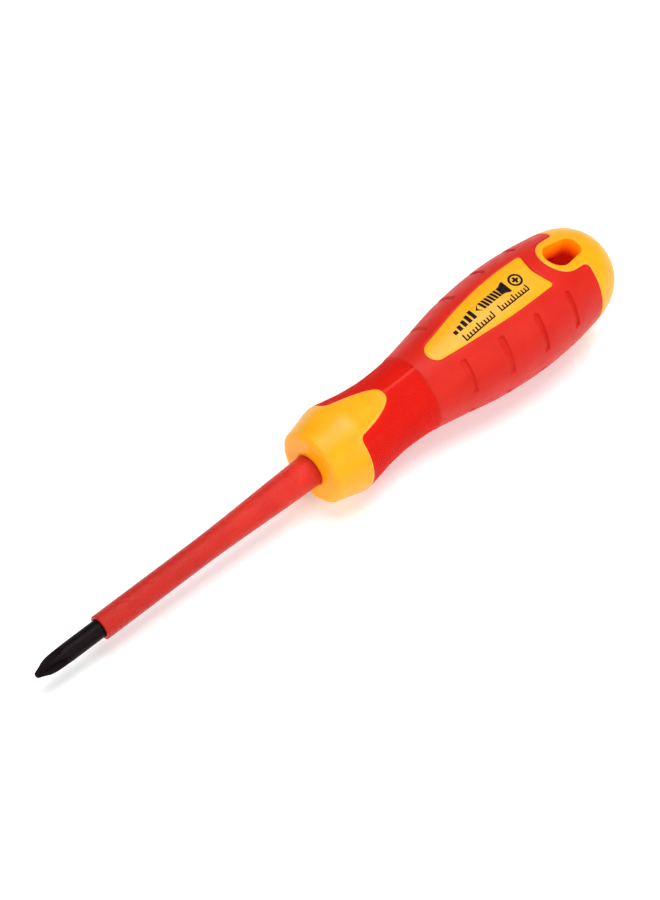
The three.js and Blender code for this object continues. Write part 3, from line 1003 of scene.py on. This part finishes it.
def print_screw(ink, start, y):
    """A countersunk screw lying along the panel: its point, threads, shank and head."""
    half, head_half = 1.15, 1.8
    low, high = y - half, y + half
    point_end = start + 1.3
    ink.quad((start, y), (start, y + 0.02), (point_end, high), (point_end, low))
    for i in range(6):
        s = point_end + 0.25 + i
        ink.quad((s, low), (s + 0.7, low), (s + 1.1, high), (s + 0.4, high))
    shank, cone, head, top = (start + step for step in (7.7, 8.6, 9.9, 10.4))
    ink.bar(shank, cone, low, high)
    ink.quad((cone, low), (head, y - head_half), (head, y + head_half), (cone, high))
    ink.bar(head, top, y - head_half, y + head_half)


def print_cross_head(ink, s, y):
    """The screw's head from above, with its cross recess."""
    reach, half = 0.92, 0.3
    ink.ring(s, y, 1.3, 1.85)
    ink.bar(s - reach, s + reach, y - half, y + half)
    ink.bar(s - half, s + half, y - reach, y - half)
    ink.bar(s - half, s + half, y + half, y + reach)


def print_scale(ink, start):
    """A plain scale of eleven marks, with every fifth one longer."""
    pitch, width, base = 0.91, 0.4, 3.2
    ink.bar(start, start + 9.46, base, base + 0.32)
    for i in range(11):
        s = start + pitch * i
        length = 0.9 if i % 5 else 1.5
        ink.bar(s, s + width, base - length, base)


def make_print():
    """Generic marks: nothing on the panel is lettering."""
    ink = Print()
    screw_y = -0.72
    print_bars(ink, 125.2)
    print_screw(ink, 133.1, screw_y)
    print_cross_head(ink, 146.4, screw_y)
    for start in (126.1, 137.6):
        print_scale(ink, start)
    return new_object("panel_print", ink.vertices, ink.faces, INK)


marks = make_print()

# ------------------------------------------------------------------ what stands for what
for piece, node, slot in (
    (blade, "blade", "blackened_steel"),
    (sleeve, "blade_insulation", "sleeve_plastic"),
    (collar, "front_collar", "yellow_plastic"),
    (neck, "neck_grip", "neck_rubber"),
    (grip, "main_grip", "grip_rubber"),
    (panel_top, "label_panel_top", "yellow_plastic"),
    (panel_bottom, "label_panel_bottom", "yellow_plastic"),
    (cap, "end_cap", "yellow_plastic"),
):
    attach(piece, "root")
    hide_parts(node)

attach(marks, "root")

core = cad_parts["handle_core"]
core.data.materials.clear()
core.data.materials.append(CORE_RED)


# ------------------------------------------------------------------ floor, light and camera
def lying_slope():
    """Slope of the plane that the collar's widest ring and the grip's belly rest on."""
    belly = np.linspace(120, 160, 400)
    rise = handle_radius(belly) - LABEL_RECESS - COLLAR_WIDEST_RADIUS
    return float((rise / (belly - COLLAR_BACK)).max())


def make_floor():
    slope = lying_slope()
    half = 1500
    corners = [
        (x, y, -(COLLAR_WIDEST_RADIUS + slope * (-x - COLLAR_BACK)))
        for x, y in ((-half, -half), (half, -half), (half, half), (-half, half))
    ]
    material = bpy.data.materials.new("floor_white")
    material.use_nodes = True
    shader = material.node_tree.nodes["Principled BSDF"]
    shader.inputs["Base Color"].default_value = (0.93, 0.93, 0.93, 1)
    shader.inputs["Roughness"].default_value = 0.7
    shader.inputs["Emission Color"].default_value = (1, 1, 1, 1)
    shader.inputs["Emission Strength"].default_value = 0.18
    floor = new_object("floor", corners, [(0, 1, 2, 3)], material)


def add_area_light(name, location, size, power):
    """A round soft light, in metres and watts, aimed at the middle of the tool."""
    target = Vector((-0.09, 0, 0))
    data = bpy.data.lights.new(name, "AREA")
    data.shape = "DISK"
    data.size = size
    data.energy = power
    light = bpy.data.objects.new(name, data)
    light.location = location
    light.rotation_euler = (target - Vector(location)).to_track_quat("-Z", "Y").to_euler()
    bpy.context.scene.collection.objects.link(light)


def add_camera():
    """The camera looks down at the tool from in front of its tip, rolled to one side."""
    distance = 0.5025
    data = bpy.data.cameras.new("camera")
    data.lens = 88
    data.sensor_width = 36
    camera = bpy.data.objects.new("camera", data)
    bpy.context.scene.collection.objects.link(camera)
    back = Vector((0.435, 0.389, 0.812)).normalized()
    right = Vector((-0.7199, 0.6918, 0.0543))
    right = (right - back * right.dot(back)).normalized()
    up = back.cross(right)
    aim = Vector((-87.07, -0.80, 0.38)) * MM
    turn = Matrix((right, up, back)).transposed().to_4x4()
    camera.matrix_world = Matrix.Translation(aim + back * distance) @ turn
    bpy.context.scene.camera = camera


def add_world():
    world = bpy.data.worlds.new("studio")
    bpy.context.scene.world = world
    world.use_nodes = True
    background = world.node_tree.nodes["Background"]
    background.inputs["Color"].default_value = (1, 1, 1, 1)
    background.inputs["Strength"].default_value = 0.26


make_floor()
add_area_light("key", (-0.25, -0.10, 0.76), size=0.6, power=6.2)
add_area_light("fill", (-0.35, 0.62, 0.47), size=0.6, power=2.8)
add_area_light("front", (0.58, 0.28, 0.32), size=0.5, power=2.6)
add_world()
add_camera()
bpy.context.scene.view_settings.view_transform = "Standard"
